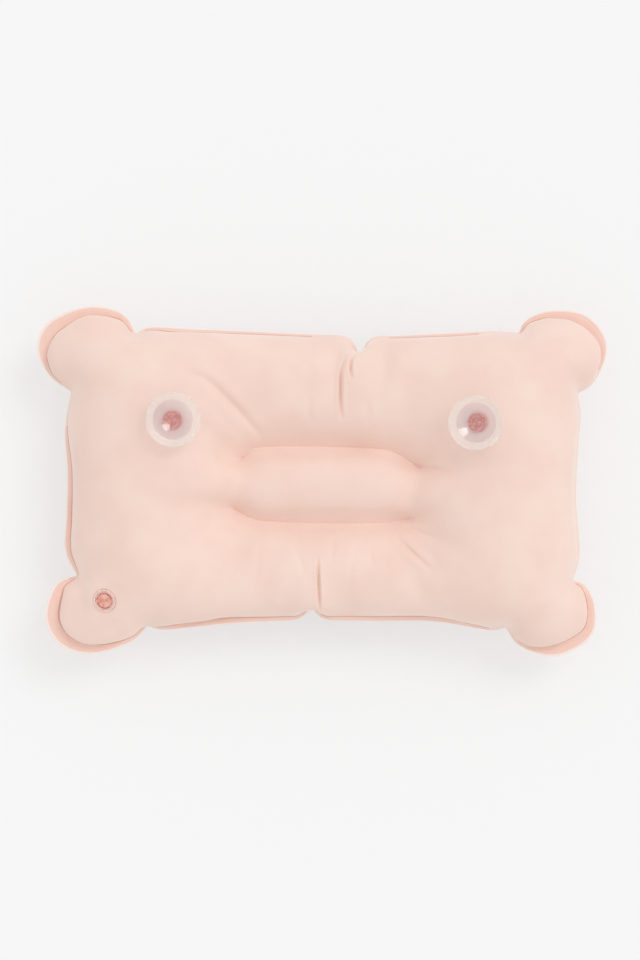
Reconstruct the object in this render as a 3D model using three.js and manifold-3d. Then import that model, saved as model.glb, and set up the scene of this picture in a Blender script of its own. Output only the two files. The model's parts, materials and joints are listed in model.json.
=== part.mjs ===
// Inflatable bath pillow in flocked vinyl. Two sheets are welded to each other round a flange and along
// two lines in the middle, so that they blow up into a cushion with four round ears. The back sheet
// carries two suction cups in moulded collars and, on one ear, a recessed inflation valve.
// Millimetres, +Z up. The pillow lies on its front sheet, with the cups and the valve on top.
import * as THREE from "three";
import { mergeVertices } from "three/addons/utils/BufferGeometryUtils.js";
import Module from "manifold-3d";

const wasm = await Module();
wasm.setup();

// Pillow
const pillowLength = 388;
const pillowWidth = 238;
const crownHeight = 42;
const sheetWall = 0.8;
const sideFlange = 5;
const earFlange = 9;
const restFlat = 1.5;
const weldGap = 0.3;

// Middle island between the two weld lines
const islandLength = 120;
const islandWidth = 52;
const islandShiftX = 6;
const islandShiftY = -2;

// Clearances
const clearance = 0.3;
const overrun = 30;

// Suction cups and their collars
const leftCupEndDistance = 94;
const leftCupSideDistance = 78;
const rightCupEndDistance = 90;
const rightCupSideDistance = 79.5;
const cupRadius = 18.4;
const cupHeight = 9.6;
const cupDepth = 7.6;
const cupLip = 0.9;
const cupEdge = 0.8;
const neckRadius = 3;
const headRadius = 4.7;
const headThickness = 2.4;
const collarRadius = 6.4;
const collarProud = 3.4;
const collarLip = 1.2;
const collarFloor = 1;
const collarFlangeRadius = 11;
const collarFlangeThickness = 0.8;

// Inflation valve
const valveEndDistance = 48;
const valveSideDistance = 39;
const stemRadius = 5;
const stemBore = 3.3;
const stemLength = 13;
const stemRimRadius = 5.6;
const stemRimThickness = 1.2;
const stemRecess = 0.2;
const ringWall = 1.2;
const ringRoom = 1;
const ringProud = 0.8;
const valveFlangeRadius = 11;
const valveFlangeThickness = 0.8;
const skirtWall = 0.8;
const skirtDrop = 5;
const beadThickness = 0.8;
const plugHeadInset = 1.1;
const plugHeadThickness = 1.4;
const plugLength = 3;
const plugTipInset = 0.7;
const strapWidth = 2.4;
const strapThickness = 0.8;
const flapThickness = 0.5;
const flapOverlap = 1.3;

// Facets, and the grid on which the skin's shape is solved
const roundSides = 24;
const holeSides = 12;
const earSteps = 7;
const filmCellCount = 128;
const filmSweeps = 400;
const overshootShare = 1.9;

// The flange's outer edge, counter-clockwise seen from above, as shares of half the length and half the
// width. Each run starts and ends at a notch where the flange is drawn in, and the ears are round.
const outlineRuns = [
  { round: true, shares: [[0.897, 0.503], [0.96, 0.583], [1, 0.781], [0.934, 0.947],
    [0.807, 0.978], [0.716, 0.924], [0.692, 0.85]] },
  { round: false, shares: [[0.692, 0.85], [0.6, 0.858], [0.42, 0.845], [0.27, 0.833],
    [0.18, 0.828], [0.133, 0.764]] },
  { round: false, shares: [[0.133, 0.764], [0.087, 0.83], [-0.06, 0.842], [-0.26, 0.858],
    [-0.45, 0.871], [-0.604, 0.881], [-0.654, 0.844]] },
  { round: true, shares: [[-0.654, 0.844], [-0.699, 0.961], [-0.826, 1], [-0.96, 0.912],
    [-1, 0.764], [-0.957, 0.61], [-0.88, 0.515]] },
  { round: false, shares: [[-0.88, 0.515], [-0.901, 0.294], [-0.892, 0.06], [-0.896, -0.2],
    [-0.9, -0.392], [-0.859, -0.538]] },
  { round: true, shares: [[-0.859, -0.538], [-0.935, -0.587], [-0.971, -0.781], [-0.914, -0.942],
    [-0.798, -0.985], [-0.668, -0.913], [-0.612, -0.824]] },
  { round: false, shares: [[-0.612, -0.824], [-0.552, -0.847], [-0.33, -0.814],
    [-0.078, -0.787], [-0.039, -0.741]] },
  { round: false, shares: [[-0.039, -0.741], [0, -0.787], [0.16, -0.798], [0.39, -0.799],
    [0.59, -0.849], [0.645, -0.833]] },
  { round: true, shares: [[0.645, -0.833], [0.695, -0.939], [0.818, -1], [0.941, -0.896],
    [0.96, -0.736], [0.927, -0.598], [0.881, -0.569]] },
  { round: false, shares: [[0.881, -0.569], [0.904, -0.404], [0.892, -0.1], [0.899, 0.18],
    [0.907, 0.386], [0.897, 0.503]] },
];

// The island's corners, in the order of the ears that look at them, as shares of half its length and
// half its width. Each ear looks at a slanted edge between two corners, at these steps of its own.
const islandCornerShares = [[1, 0.43], [0.7, 0.93], [-0.78, 1], [-1, 0.6],
  [-1, -0.62], [-0.78, -0.96], [0.7, -1], [0.94, -0.62]];
const earAnchorSteps = [2, 5];

// Rings of the mesh: two at the shoulders beside the seam, one beside the welds, some that share out the
// way between those, and one that closes in on the island's long axis. Then how the skin fills out.
const wallShoulder = 2.5;
const seamShoulder = 12;
const weldShoulder = 10;
const crownRingShares = [0.35, 0.7];
const islandRingShare = 0.62;
const spineShare = 0.8;
const fullnessShare = 0.45;
const weldPullShare = 0.5;
const weldPullReach = 36;
const creaseShare = 0.86;

const materials = {
  sheet: { color: "#f3d6ca", roughness: 0.9, metalness: 0 },
  collar: { color: "#dd8676", roughness: 0.4, metalness: 0 },
  cup: { color: "#e9e4ea", roughness: 0.08, metalness: 0, transparent: true, opacity: 0.4 },
  valve: { color: "#e3a493", roughness: 0.35, metalness: 0 },
};

function makeMesh(name, geometry, finish) {
  const mesh = new THREE.Mesh(geometry, new THREE.MeshStandardMaterial(materials[finish]));
  mesh.name = name;
  return mesh;
}

// Booleans
function toSolid(geometry) {
  const bare = geometry.clone();
  bare.deleteAttribute("normal");
  bare.deleteAttribute("uv");
  const merged = mergeVertices(bare);
  const mesh = new wasm.Mesh({
    numProp: 3,
    vertProperties: merged.attributes.position.array,
    triVerts: new Uint32Array(merged.index.array),
  });
  return new wasm.Manifold(mesh);
}

function toGeometry(solid) {
  const mesh = solid.getMesh();
  const geometry = new THREE.BufferGeometry();
  geometry.setAttribute("position", new THREE.BufferAttribute(mesh.vertProperties, 3));
  geometry.setIndex(new THREE.BufferAttribute(mesh.triVerts, 1));
  return geometry;
}

// A turned piece: the profile is a list of [radius, height], and the axis becomes +Z.
function turned(profile) {
  const points = profile.map(([radius, height]) => new THREE.Vector2(radius, height));
  return new THREE.LatheGeometry(points, roundSides).rotateX(Math.PI / 2);
}

// Outline, seam and island in plan
function outlineColumns() {
  const columns = [];
  for (const run of outlineRuns) {
    const points = run.shares.map(
      ([x, y]) => new THREE.Vector2((x * pillowLength) / 2, (y * pillowWidth) / 2),
    );
    const places = run.round ? new THREE.SplineCurve(points).getSpacedPoints(earSteps) : points;
    const steps = places.length - 1;
    for (let step = 0; step < steps; step++) {
      columns.push({
        edge: places[step],
        round: run.round,
        along: step / steps,
        corner: run.round && earAnchorSteps.includes(step),
        notch: !run.round && step === 0,
      });
    }
  }
  const box = new THREE.Box2().setFromPoints(columns.map((column) => column.edge));
  const middle = box.getCenter(new THREE.Vector2());
  for (const column of columns) {
    column.edge.sub(middle);
  }
  return columns;
}

// The seam runs inside the flange, which is widest at the tip of each ear.
function addSeam(columns) {
  const count = columns.length;
  columns.forEach((column, i) => {
    const before = columns[(i + count - 1) % count].edge;
    const after = columns[(i + 1) % count].edge;
    const tangent = after.clone().sub(before).normalize();
    column.inward = new THREE.Vector2(-tangent.y, tangent.x);
    const swell = column.round ? Math.sin(Math.PI * column.along) : 0;
    const width = sideFlange + (earFlange - sideFlange) * swell;
    column.seam = column.edge.clone().addScaledVector(column.inward, width);
  });
}

// Each column ends on the island's outline. Corner columns meet its corners, and those between them
// keep the spacing that they have on the seam.
function addIsland(columns) {
  const count = columns.length;
  const corners = islandCornerShares.map(
    ([x, y]) =>
      new THREE.Vector2(
        islandShiftX + (x * islandLength) / 2,
        islandShiftY + (y * islandWidth) / 2,
      ),
  );
  const anchors = columns.flatMap((column, i) => (column.corner ? [i] : []));
  anchors.forEach((start, n) => {
    const stop = anchors[(n + 1) % anchors.length];
    const steps = (stop - start + count) % count;
    const reach = [0];
    for (let k = 1; k <= steps; k++) {
      const here = columns[(start + k) % count].seam;
      const before = columns[(start + k - 1) % count].seam;
      reach.push(reach[k - 1] + here.distanceTo(before));
    }
    // The ends of the island, to the right and to the left, are open: the lines weld the rest.
    const open = n % 4 === 3;
    for (let k = 0; k < steps; k++) {
      const column = columns[(start + k) % count];
      const share = reach[k] / reach[steps];
      column.island = corners[n].clone().lerp(corners[(n + 1) % corners.length], share);
      column.welded = !open || k === 0;
    }
  });
}

// A column's points from the seam to the island
function ringPath(column) {
  const length = column.seam.distanceTo(column.island);
  const between = crownRingShares.map(
    (share) => seamShoulder + (length - seamShoulder - weldShoulder) * share,
  );
  const reaches = [0, wallShoulder, seamShoulder, ...between, length - weldShoulder, length];
  return reaches.map((reach) => column.seam.clone().lerp(column.island, reach / length));
}

// Plan of the whole skin: rings of points from the flange's edge to the middle, and its triangles
function skinPlan() {
  const columns = outlineColumns();
  addSeam(columns);
  addIsland(columns);
  const middle = new THREE.Vector2(islandShiftX, islandShiftY);
  const rings = [columns.map((column) => column.edge)];
  const paths = columns.map((column) => ringPath(column));
  for (let r = 0; r < paths[0].length; r++) {
    rings.push(paths.map((path) => path[r]));
  }
  rings.push(
    columns.map((column) => {
      const spine = new THREE.Vector2(column.island.x, middle.y).lerp(middle, 1 - spineShare);
      return column.island.clone().lerp(spine, islandRingShare);
    }),
  );
  const count = columns.length;
  const points = [...rings.flat(), middle];
  const triangles = [];
  for (let r = 0; r < rings.length - 1; r++) {
    for (let c = 0; c < count; c++) {
      const next = (c + 1) % count;
      const [a, b] = [r * count + c, r * count + next];
      const [d, e] = [a + count, b + count];
      const slanted = points[a].distanceTo(points[e]) < points[b].distanceTo(points[d]);
      if (slanted) {
        triangles.push([a, b, e], [a, e, d]);
      } else {
        triangles.push([a, b, d], [b, e, d]);
      }
    }
  }
  const last = (rings.length - 1) * count;
  for (let c = 0; c < count; c++) {
    triangles.push([last + c, last + ((c + 1) % count), points.length - 1]);
  }
  return { columns, points, triangles, seamRing: 1, weldRing: paths[0].length };
}

// True where a place of the plan lies inside a closed line of points
function encloses(line, x, y) {
  let inside = false;
  line.forEach((p, i) => {
    const q = line[(i + 1) % line.length];
    const crosses = p.y > y !== q.y > y;
    if (crosses && x < ((q.x - p.x) * (y - p.y)) / (q.y - p.y) + p.x) inside = !inside;
  });
  return inside;
}

// The weld lines, as the stretches of the island's outline between welded columns
function weldLines(columns) {
  return columns.flatMap((column, i) => {
    const next = columns[(i + 1) % columns.length];
    if (!column.welded || !next.welded) return [];
    const start = new THREE.Vector3(column.island.x, column.island.y, 0);
    const stop = new THREE.Vector3(next.island.x, next.island.y, 0);
    return [new THREE.Line3(start, stop)];
  });
}

// A film stretched over the plan, held down along the seam and the welds and pushed up by even pressure,
// solved by relaxation on a grid of square cells. Returns its height at a place of the plan.
function inflatedFilm(columns, welds) {
  const cell = pillowLength / filmCellCount;
  const wide = filmCellCount + 1;
  const deep = Math.ceil(pillowWidth / cell) + 1;
  const seam = columns.map((column) => column.seam);
  const nearest = new THREE.Vector3();
  const free = [];
  for (let j = 0; j < deep; j++) {
    for (let i = 0; i < wide; i++) {
      const place = new THREE.Vector3(i * cell - pillowLength / 2, j * cell - pillowWidth / 2, 0);
      const welded = welds.some((line) => {
        line.closestPointToPoint(place, true, nearest);
        return nearest.distanceTo(place) < cell / 2;
      });
      if (!welded && encloses(seam, place.x, place.y)) free.push(j * wide + i);
    }
  }
  const film = new Float64Array(wide * deep);
  for (let sweep = 0; sweep < filmSweeps; sweep++) {
    for (const k of free) {
      const around = film[k - 1] + film[k + 1] + film[k - wide] + film[k + wide];
      film[k] += overshootShare * ((around + cell * cell) / 4 - film[k]);
    }
  }
  return (x, y) => {
    const u = (x + pillowLength / 2) / cell;
    const v = (y + pillowWidth / 2) / cell;
    const [i, j] = [Math.floor(u), Math.floor(v)];
    const [a, b] = [u - i, v - j];
    const k = j * wide + i;
    const near = film[k] * (1 - a) + film[k + 1] * a;
    const far = film[k + wide] * (1 - a) + film[k + wide + 1] * a;
    return near * (1 - b) + far * b;
  };
}

// How much of its height the skin keeps at a place, because the welds pull down what lies around them
function keptByWelds(welds, point) {
  const place = new THREE.Vector3(point.x, point.y, 0);
  const nearest = new THREE.Vector3();
  const gaps = welds.map((line) => {
    line.closestPointToPoint(place, true, nearest);
    return nearest.distanceTo(place);
  });
  return 1 - weldPullShare * Math.exp(-Math.pow(Math.min(...gaps) / weldPullReach, 2));
}

// How full the skin is at each point, from 0 at a weld to 1 at the crown of either end, because both ends
// fill alike. The ring next to the seam rises more steeply than the one inside it.
function fullness(plan) {
  const { columns, points, seamRing, weldRing } = plan;
  const count = columns.length;
  const welds = weldLines(columns);
  const film = inflatedFilm(columns, welds);
  const height = points.map((point, i) => {
    const ring = Math.floor(i / count);
    const held = ring <= seamRing || (ring === weldRing && columns[i % count].welded);
    if (held) return 0;
    return Math.pow(film(point.x, point.y), fullnessShare) * keptByWelds(welds, point);
  });
  const nextShare = Math.pow(wallShoulder / seamShoulder, fullnessShare);
  for (let c = 0; c < count; c++) {
    height[(seamRing + 1) * count + c] = nextShare * height[(seamRing + 2) * count + c];
  }
  const [left, right] = [-1, 1].map((side) =>
    Math.max(...height.filter((_, i) => points[i].x * side > 0)),
  );
  const [from, to] = [-1, 1].map((side) => islandShiftX + (side * islandLength) / 2);
  return height.map((value, i) => {
    const share = THREE.MathUtils.clamp(THREE.MathUtils.inverseLerp(from, to, points[i].x), 0, 1);
    return value / THREE.MathUtils.lerp(left, right, share);
  });
}

const plan = skinPlan();
const { seamRing, weldRing } = plan;
const fill = fullness(plan);

// A crease runs from the notch in the middle of each long side towards the island.
function creased(index) {
  const count = plan.columns.length;
  const ring = Math.floor(index / count);
  const column = plan.columns[index % count];
  const midNotch = column.notch && Math.abs(column.edge.x) < islandLength / 2;
  return midNotch && ring > seamRing && ring < weldRing ? creaseShare : 1;
}

// The back sheet's outer skin, above the plane where the sheets meet
function outerSkin() {
  return plan.points.map((point, i) => {
    const held = fill[i] === 0 && i >= plan.columns.length * (seamRing + 1);
    const base = sheetWall + (held ? weldGap / 2 : 0);
    const rise = (crownHeight - sheetWall) * fill[i] * creased(i);
    return new THREE.Vector3(point.x, point.y, base + rise);
  });
}

const skin = outerSkin();

function skinNormals() {
  const normals = skin.map(() => new THREE.Vector3());
  for (const [a, b, c] of plan.triangles) {
    const ab = skin[b].clone().sub(skin[a]);
    const ac = skin[c].clone().sub(skin[a]);
    const face = ab.cross(ac);
    for (const i of [a, b, c]) {
      normals[i].add(face);
    }
  }
  return normals.map((normal) => normal.normalize());
}

// The inner skin lies one wall inside the outer one. It is flat and level under the flange, and straight
// below the outer skin along the welds.
function innerSkin() {
  const normals = skinNormals();
  const count = plan.columns.length;
  return skin.map((point, i) => {
    const ring = Math.floor(i / count);
    const column = plan.columns[i % count];
    if (ring === 0) return new THREE.Vector3(point.x, point.y, 0);
    if (ring === seamRing) {
      const inside = column.seam.clone().addScaledVector(column.inward, sheetWall);
      return new THREE.Vector3(inside.x, inside.y, 0);
    }
    if (ring === weldRing && column.welded) {
      return new THREE.Vector3(point.x, point.y, weldGap / 2);
    }
    return point.clone().addScaledVector(normals[i], -sheetWall);
  });
}

// One sheet as a closed shell. side is 1 for the back sheet and -1 for the front, which mirrors it.
function sheetShell(side) {
  const inner = innerSkin();
  const count = plan.columns.length;
  const shift = skin.length;
  const faces = [];
  for (const [a, b, c] of plan.triangles) {
    faces.push([a, b, c], [a + shift, c + shift, b + shift]);
  }
  for (let c = 0; c < count; c++) {
    const next = (c + 1) % count;
    faces.push([c + shift, next + shift, next], [c + shift, next, c]);
  }
  const positions = [...skin, ...inner].flatMap((point) => [point.x, point.y, side * point.z]);
  const index = faces.flatMap(([a, b, c]) => (side > 0 ? [a, b, c] : [a, c, b]));
  const geometry = new THREE.BufferGeometry();
  geometry.setAttribute("position", new THREE.Float32BufferAttribute(positions, 3));
  geometry.setIndex(index);
  return geometry;
}

// Height of a skin above a point of the plan
function heightAt(surface, x, y) {
  const place = new THREE.Vector3(x, y, 0);
  const flat = new THREE.Triangle();
  const parts = new THREE.Vector3();
  let found = 0;
  for (const [a, b, c] of plan.triangles) {
    flat.set(surface[a].clone().setZ(0), surface[b].clone().setZ(0), surface[c].clone().setZ(0));
    if (!flat.containsPoint(place)) continue;
    flat.getBarycoord(place, parts);
    found = parts.x * surface[a].z + parts.y * surface[b].z + parts.z * surface[c].z;
  }
  return found;
}

// A seat for a moulded fitting: the plane that lies best on the skin around a place, and how far below
// it the fitting's flange has to stay to clear the sheet's inner face.
function seatAt(x, y, radius) {
  const circle = [];
  for (let k = 0; k < roundSides; k++) {
    const angle = (2 * Math.PI * k) / roundSides;
    circle.push([radius * Math.cos(angle), radius * Math.sin(angle)]);
  }
  const heights = circle.map(([u, v]) => heightAt(skin, x + u, y + v));
  const mean = heights.reduce((sum, value) => sum + value, 0) / roundSides;
  const slope = [0, 1].map(
    (axis) =>
      heights.reduce((sum, value, k) => sum + value * circle[k][axis], 0) /
      (0.5 * roundSides * radius * radius),
  );
  const normal = new THREE.Vector3(-slope[0], -slope[1], 1).normalize();
  const place = new THREE.Vector3(x, y, (mean + heightAt(skin, x, y)) / 2);
  const inner = innerSkin();
  let drop = 0;
  for (const [u, v] of circle) {
    const below = new THREE.Vector3(x + u, y + v, heightAt(inner, x + u, y + v));
    drop = Math.max(drop, place.clone().sub(below).dot(normal));
  }
  return { place, normal, drop: drop + clearance };
}

function placed(seat, meshes) {
  const group = new THREE.Group();
  group.position.copy(seat.place);
  group.quaternion.setFromUnitVectors(new THREE.Vector3(0, 0, 1), seat.normal);
  for (const mesh of meshes) {
    group.add(mesh);
  }
  return group;
}

// A straight hole through a sheet, square to the seat, whose flat sides clear a round of this radius
function holeCutter(seat, radius) {
  const corner = (radius + clearance) / Math.cos(Math.PI / holeSides);
  const drill = new THREE.CylinderGeometry(corner, corner, 2 * overrun, holeSides);
  drill.rotateX(Math.PI / 2);
  const frame = placed(seat, []);
  frame.updateMatrixWorld(true);
  return toSolid(drill.applyMatrix4(frame.matrixWorld));
}

const leftCupX = leftCupEndDistance - pillowLength / 2;
const leftCupY = pillowWidth / 2 - leftCupSideDistance;
const leftCupSeat = seatAt(leftCupX, leftCupY, collarFlangeRadius);
const rightCupX = pillowLength / 2 - rightCupEndDistance;
const rightCupY = pillowWidth / 2 - rightCupSideDistance;
const rightCupSeat = seatAt(rightCupX, rightCupY, collarFlangeRadius);
const valveX = valveEndDistance - pillowLength / 2;
const valveY = valveSideDistance - pillowWidth / 2;
const valveSeat = seatAt(valveX, valveY, valveFlangeRadius);

const ringInner = stemRimRadius + ringRoom;
const ringOuter = ringInner + ringWall;
const plugHeadRadius = stemRimRadius - plugHeadInset;

function backSheet() {
  const drilled = toSolid(sheetShell(1))
    .subtract(holeCutter(leftCupSeat, collarRadius))
    .subtract(holeCutter(rightCupSeat, collarRadius))
    .subtract(holeCutter(valveSeat, ringOuter));
  return makeMesh("back_sheet", toGeometry(drilled), "sheet");
}

// The front sheet is pressed flat where the pillow rests on it.
function frontSheet() {
  const floor = new THREE.BoxGeometry(pillowLength, pillowWidth, crownHeight);
  floor.translate(0, 0, -crownHeight / 2 - crownHeight + restFlat);
  const pressed = toSolid(sheetShell(-1)).subtract(toSolid(floor));
  return makeMesh("front_sheet", toGeometry(pressed), "sheet");
}

const collarChamber = headThickness + 2 * clearance;

// Collar: a blind cup with a lip that grips the suction cup's head, welded under the sheet by its flange
function collarProfile(seat) {
  const chamberTop = collarProud - collarLip;
  const chamberBottom = chamberTop - collarChamber;
  const bottom = Math.min(-seat.drop, chamberBottom - collarFloor) - collarFlangeThickness;
  return [
    [0, bottom],
    [collarFlangeRadius, bottom],
    [collarFlangeRadius, bottom + collarFlangeThickness],
    [collarRadius, bottom + collarFlangeThickness],
    [collarRadius, collarProud],
    [neckRadius + clearance, collarProud],
    [neckRadius + clearance, chamberTop],
    [headRadius + clearance, chamberTop],
    [headRadius + clearance, chamberBottom],
    [0, chamberBottom],
  ];
}

// Suction cup: a mushroom head and a neck below, and a thin dish that opens upwards
function cupProfile() {
  const headTop = collarProud - collarLip - clearance;
  const base = collarProud + clearance;
  const rim = base + cupHeight;
  const profile = [
    [0, headTop - headThickness],
    [headRadius / 2, headTop - headThickness],
    [headRadius, headTop - headThickness / 2],
    [headRadius, headTop],
    [neckRadius, headTop],
    [neckRadius, base],
  ];
  const dishSteps = 5;
  const outerSpan = cupRadius - neckRadius;
  for (let k = 1; k < dishSteps; k++) {
    const share = k / dishSteps;
    profile.push([neckRadius + outerSpan * share, base + (cupHeight - cupEdge) * share * share]);
  }
  profile.push([cupRadius, rim - cupEdge], [cupRadius, rim]);
  const dishRadius = cupRadius - cupLip;
  for (let k = dishSteps; k >= 0; k--) {
    const share = k / dishSteps;
    profile.push([dishRadius * share, rim - cupDepth * (1 - share * share)]);
  }
  return profile;
}

function suctionCup(seat, side) {
  return placed(seat, [
    makeMesh("cup_collar_" + side, turned(collarProfile(seat)), "collar"),
    makeMesh("suction_cup_" + side, turned(cupProfile()), "cup"),
  ]);
}

// Valve: heights along its own axis, from the sheet's outer face
const valveFlangeTop = -valveSeat.drop;
const valveFlangeBottom = valveFlangeTop - valveFlangeThickness;
const stemTop = ringProud - stemRecess - plugHeadThickness / 2;
const skirtTop = valveFlangeBottom - clearance;
const skirtBottom = skirtTop - skirtDrop;
const plugHeadBottom = stemTop + clearance;

// Ring that the stem slides through, with the flange that is welded under the sheet
function valveBase() {
  const profile = [
    [ringInner, valveFlangeBottom],
    [valveFlangeRadius, valveFlangeBottom],
    [valveFlangeRadius, valveFlangeTop],
    [ringOuter, valveFlangeTop],
    [ringOuter, ringProud],
    [ringInner, ringProud],
    [ringInner, valveFlangeBottom],
  ];
  return makeMesh("valve_base", turned(profile), "valve");
}

// Soft skirt that rolls inside out when the stem is pulled up
function valveSkirt() {
  const stemSide = stemRadius + clearance;
  const profile = [
    [stemSide, skirtBottom],
    [stemSide + skirtWall, skirtBottom],
    [ringInner + skirtWall, skirtTop],
    [ringInner, skirtTop],
    [stemSide, skirtBottom],
  ];
  return makeMesh("valve_skirt", turned(profile), "valve");
}

// Stem: a tube with a rim on top and a bead that the skirt's lower end is moulded to
function valveStem() {
  const beadTop = skirtBottom - clearance;
  const beadRadius = stemRadius + clearance + skirtWall;
  const profile = [
    [stemBore, stemTop - stemLength],
    [stemRadius, stemTop - stemLength],
    [stemRadius, beadTop - beadThickness],
    [beadRadius, beadTop - beadThickness],
    [beadRadius, beadTop],
    [stemRadius, beadTop],
    [stemRadius, stemTop - stemRimThickness],
    [stemRimRadius, stemTop - stemRimThickness],
    [stemRimRadius, stemTop],
    [stemBore, stemTop],
    [stemBore, stemTop - stemLength],
  ];
  return makeMesh("valve_stem", turned(profile), "valve");
}

// Plug: a flat head on the stem's rim and a tapered shank in its bore
function valvePlug() {
  const shank = stemBore - clearance;
  const profile = [
    [0, plugHeadBottom - plugLength],
    [shank - plugTipInset, plugHeadBottom - plugLength],
    [shank, plugHeadBottom],
    [plugHeadRadius, plugHeadBottom],
    [plugHeadRadius, plugHeadBottom + plugHeadThickness],
    [0, plugHeadBottom + plugHeadThickness],
  ];
  return makeMesh("valve_plug", turned(profile), "valve");
}

// Strap from the plug's head to the stem's rim, which folds where the plug swings off
function valveStrap() {
  const start = plugHeadRadius + clearance;
  const end = ringInner - ringRoom / 2;
  const strap = new THREE.BoxGeometry(end - start, strapWidth, strapThickness);
  strap.translate(-(start + end) / 2, 0, plugHeadBottom + plugHeadThickness / 2);
  return makeMesh("valve_strap", strap, "valve");
}

// Non-return flap under the stem's lower end
function valveFlap() {
  const top = stemTop - stemLength - clearance;
  const radius = stemBore + flapOverlap;
  const profile = [
    [0, top - flapThickness],
    [radius, top - flapThickness],
    [radius, top],
    [0, top],
  ];
  return makeMesh("valve_flap", turned(profile), "valve");
}

const object = new THREE.Group();
const pillow = new THREE.Group();
pillow.position.z = crownHeight - restFlat;
pillow.add(backSheet(), frontSheet());
pillow.add(suctionCup(leftCupSeat, "left"), suctionCup(rightCupSeat, "right"));
pillow.add(
  placed(valveSeat, [
    valveBase(),
    valveSkirt(),
    valveStem(),
    valvePlug(),
    valveStrap(),
    valveFlap(),
  ]),
);
object.add(pillow);

export default object;
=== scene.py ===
import json
import math

import bmesh
import bpy
import numpy as np
from bpy.props import FloatProperty, FloatVectorProperty, IntProperty, PointerProperty
from bpy.types import Operator, Panel, PropertyGroup
from mathutils import Matrix, Vector
from mathutils.geometry import delaunay_2d_cdt


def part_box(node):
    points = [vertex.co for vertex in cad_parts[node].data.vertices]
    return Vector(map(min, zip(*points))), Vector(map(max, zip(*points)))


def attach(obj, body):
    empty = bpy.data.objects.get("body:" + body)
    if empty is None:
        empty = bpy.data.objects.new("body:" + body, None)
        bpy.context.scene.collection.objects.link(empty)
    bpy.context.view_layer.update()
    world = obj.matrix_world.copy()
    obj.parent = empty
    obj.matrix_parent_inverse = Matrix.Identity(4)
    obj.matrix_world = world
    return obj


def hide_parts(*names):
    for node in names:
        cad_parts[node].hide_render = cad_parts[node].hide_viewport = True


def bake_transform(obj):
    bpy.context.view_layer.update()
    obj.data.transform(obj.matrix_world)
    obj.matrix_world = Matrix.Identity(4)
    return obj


bl_info = {
    "name": "Bath pillow",
    "version": (1, 0, 0),
    "blender": (4, 5, 0),
    "location": "3D View > Sidebar > Bath pillow",
    "description": "An inflatable bath pillow in flocked vinyl, with suction cups and a valve",
    "category": "Object",
}

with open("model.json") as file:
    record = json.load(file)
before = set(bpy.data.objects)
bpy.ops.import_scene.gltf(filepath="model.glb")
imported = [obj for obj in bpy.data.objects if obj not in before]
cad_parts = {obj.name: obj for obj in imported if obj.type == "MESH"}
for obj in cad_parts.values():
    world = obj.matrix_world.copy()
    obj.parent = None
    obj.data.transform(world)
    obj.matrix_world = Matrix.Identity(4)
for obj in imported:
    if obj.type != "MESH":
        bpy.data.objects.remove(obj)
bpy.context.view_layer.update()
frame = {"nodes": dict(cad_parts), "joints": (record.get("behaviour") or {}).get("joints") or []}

MM = 0.001

# The flange's outer edge, counter-clockwise seen from above, as shares of half the length and half
# the width. Each run has its kind, how far the flange reaches out from the seam in millimetres at
# even steps along it, and its points. It ends where the next run starts, in a notch where the
# flange is drawn in. Where the flange reaches out less than it is wide, it is folded down.
OUTLINE_RUNS = (
    ("ear", (0.6, 1.6, 6.4, 9.6, 7.2, 4.4, 1.8),
     ((0.897, 0.503), (0.96, 0.583), (1, 0.781), (0.934, 0.947), (0.807, 0.978), (0.716, 0.924))),
    ("side", (0.7, 1.2, 2.2, 2, 1.8, 1.6, 1),
     ((0.692, 0.85), (0.6, 0.858), (0.42, 0.845), (0.27, 0.833), (0.18, 0.828))),
    ("side", (1, 1.6, 1.8, 2, 2.4, 3, 0.8),
     ((0.133, 0.764), (0.087, 0.83), (-0.06, 0.842), (-0.26, 0.858), (-0.45, 0.871),
      (-0.604, 0.881))),
    ("ear", (1.6, 5.6, 7.4, 10.6, 10.4, 3.2, 0.6),
     ((-0.654, 0.844), (-0.699, 0.961), (-0.826, 1), (-0.96, 0.912), (-1, 0.764),
      (-0.957, 0.61))),
    ("side", (0.6, 1.8, 3, 3.6, 4, 4, 2.4),
     ((-0.88, 0.515), (-0.901, 0.294), (-0.892, 0.06), (-0.896, -0.2), (-0.9, -0.392))),
    ("ear", (1.2, 8.6, 10.4, 10.2, 7.4, 3.6, 1.6),
     ((-0.859, -0.538), (-0.935, -0.587), (-0.971, -0.781), (-0.914, -0.942), (-0.798, -0.985),
      (-0.668, -0.913))),
    ("side", (0.6, 3.2, 4.4, 4.4, 3.6, 3, 1.4),
     ((-0.612, -0.824), (-0.552, -0.847), (-0.33, -0.814), (-0.078, -0.787))),
    ("side", (1.4, 3.2, 3.4, 3.4, 3.4, 2.2, 0.6),
     ((-0.039, -0.741), (0, -0.787), (0.16, -0.798), (0.39, -0.799), (0.59, -0.849))),
    ("ear", (0.6, 3.2, 8.6, 9.6, 7.6, 5, 1.4),
     ((0.645, -0.833), (0.695, -0.939), (0.818, -1), (0.941, -0.896), (0.96, -0.736),
      (0.927, -0.598))),
    ("side", (0.8, 1.4, 1.6, 1.6, 1.4, 1.2, 0.6),
     ((0.881, -0.569), (0.904, -0.404), (0.892, -0.1), (0.899, 0.18), (0.907, 0.386))),
)

# The two lines in the middle along which the sheets are welded, as shares of half the island's
# length and width. Their ends turn towards each other.
WELD_LINE_SHARES = (
    ((-1.03, 0.64), (-0.92, 0.87), (-0.78, 0.98), (-0.18, 1), (0.48, 0.95), (0.7, 0.87),
     (0.85, 0.67), (1.01, 0.43)),
    ((-1.11, -0.6), (-1, -0.77), (-0.8, -0.93), (-0.27, -1), (0.1, -1.01), (0.64, -0.99),
     (0.9, -0.88)),
)

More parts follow.
